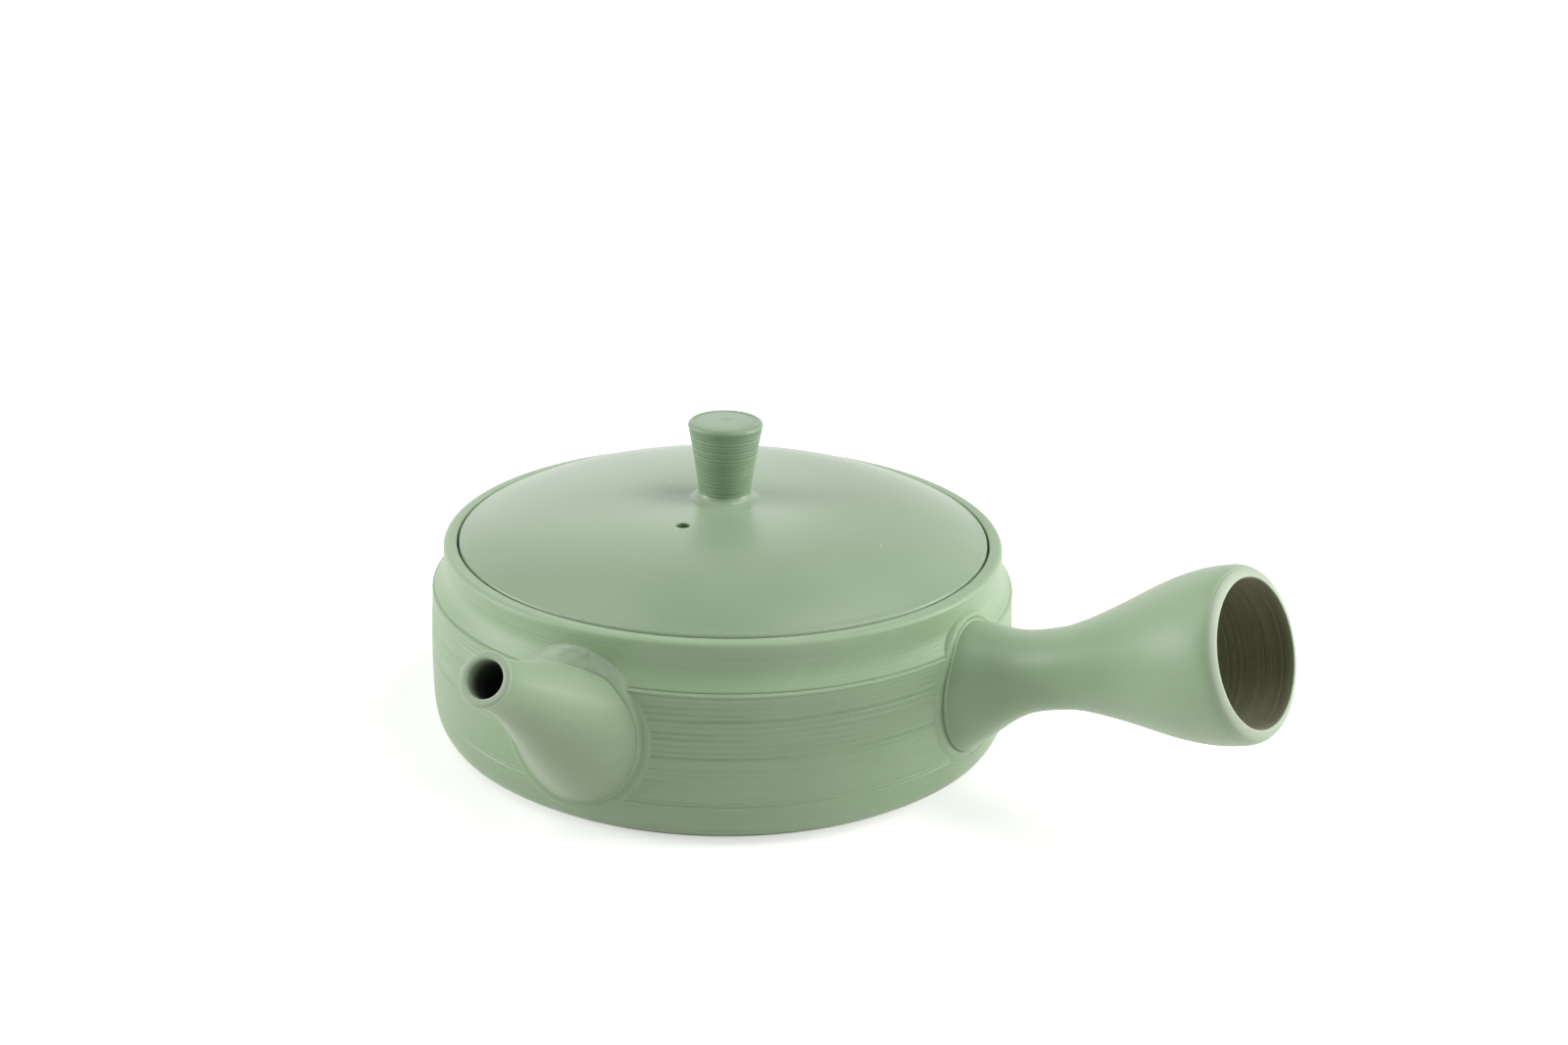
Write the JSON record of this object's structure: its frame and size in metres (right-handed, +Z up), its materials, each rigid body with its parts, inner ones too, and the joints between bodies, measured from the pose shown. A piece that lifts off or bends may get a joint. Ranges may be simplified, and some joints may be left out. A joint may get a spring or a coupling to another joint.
{
  "type": "kyusu teapot",
  "caption": "Low round side-handled teapot of matte green stoneware with a drop-in domed lid, flat-topped knob, hollow trumpet handle, short spout and a clay strainer inside.",
  "frame": {"origin": "centre of the flat foot, on the table", "axes": "+Z up along the pot's turning axis, +X the way the handle points, the spout on the -Y side"},
  "size_m": [0.1836, 0.1461, 0.0647],
  "materials": {
    "clay": "unglazed grey-green stoneware, combed with fine turning lines, dry matte with a faint burnish",
    "clay_lid": "unglazed grey-green stoneware, smoothed by turning, dry matte with a faint burnish",
    "clay_bead": "luting clay wiped smooth by finger, slightly paler, dry matte",
    "clay_inside": "bare olive-brown stoneware with coarse turning lines, dry matte"
  },
  "bodies": {
    "pot": {"body": "clay", "spout": "clay", "strainer": "clay_inside", "handle": "clay", "spout_seam": "clay_bead", "handle_seam": "clay_bead"},
    "lid": {"lid": "clay_lid", "lid_knob": "clay_lid", "knob_seam": "clay_bead"}
  },
  "joints": [
    {"name": "lid_lift", "type": "slide", "parent": "pot", "child": "lid", "axis": [0, 0, 1], "range_m": [0, 0.045]}
  ]
}
